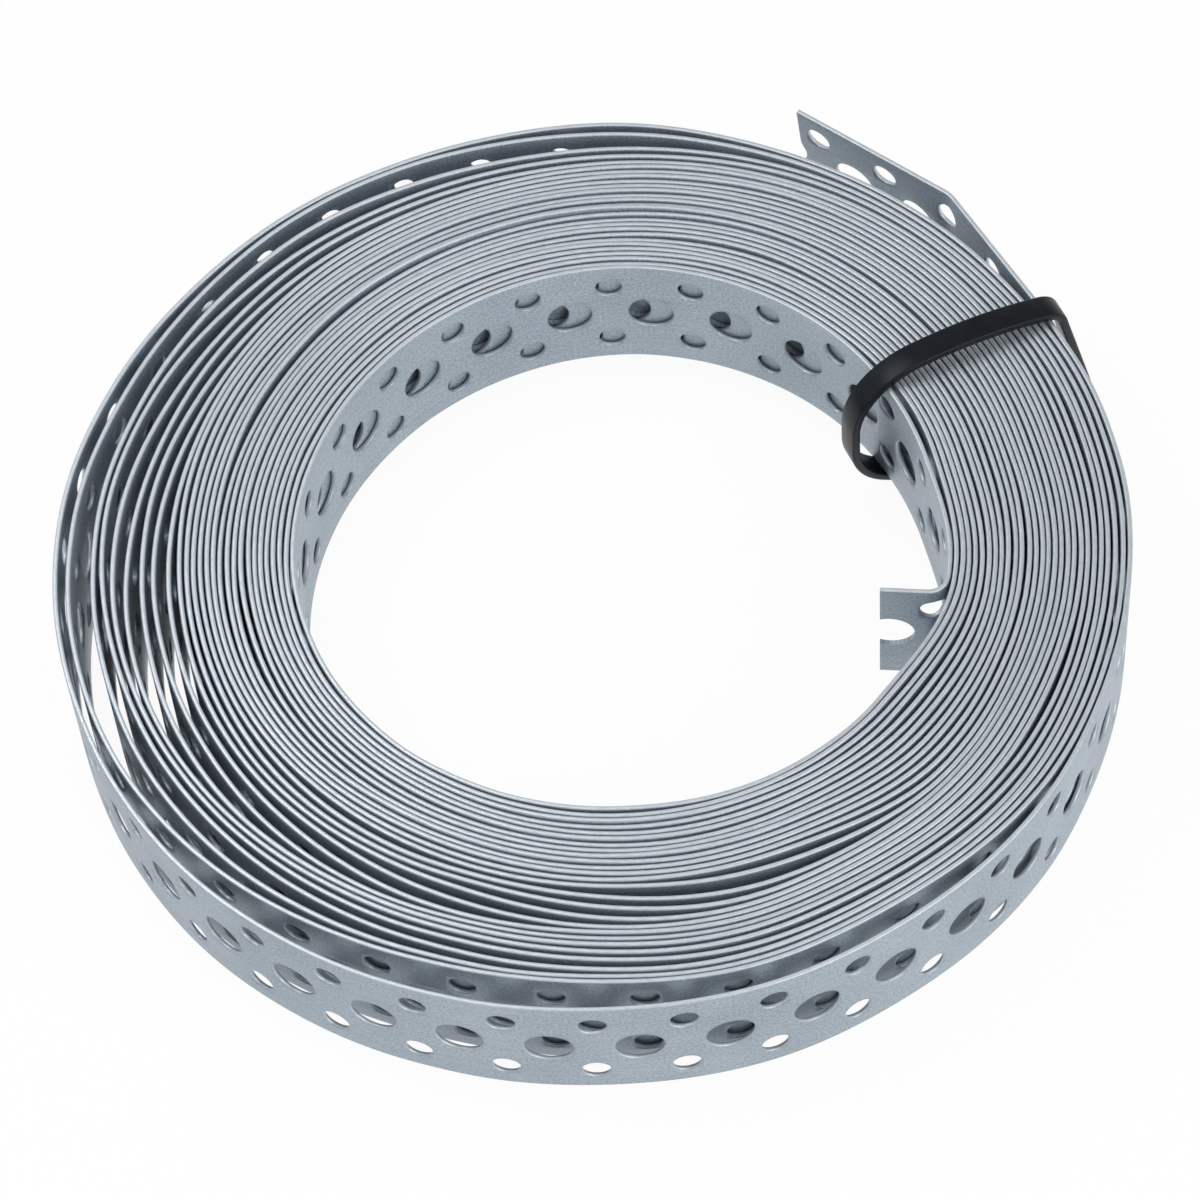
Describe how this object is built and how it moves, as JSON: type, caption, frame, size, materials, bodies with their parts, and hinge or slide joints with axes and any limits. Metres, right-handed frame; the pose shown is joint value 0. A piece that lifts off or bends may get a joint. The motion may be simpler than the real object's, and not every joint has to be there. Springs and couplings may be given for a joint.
{
  "type": "perforated steel strap",
  "caption": "Roll of perforated galvanised steel strap lying flat, with a straight free outer end, a bent inner end and a black cable tie round its section.",
  "frame": {"origin": "under the middle of the object's box, at the level of the underside of the tie's head", "axes": "+Z along the axis of the roll, upwards; the straight outer end of the strap runs along X with its cut at -X, and its outer face looks along +Y"},
  "size_m": [0.1382, 0.1418, 0.0287],
  "materials": {
    "galvanised_steel": "galvanised, satin",
    "black_nylon": "moulded, semi-matte"
  },
  "bodies": {
    "root": {"strap": "galvanised_steel", "cable_tie": "black_nylon"}
  },
  "joints": []
}
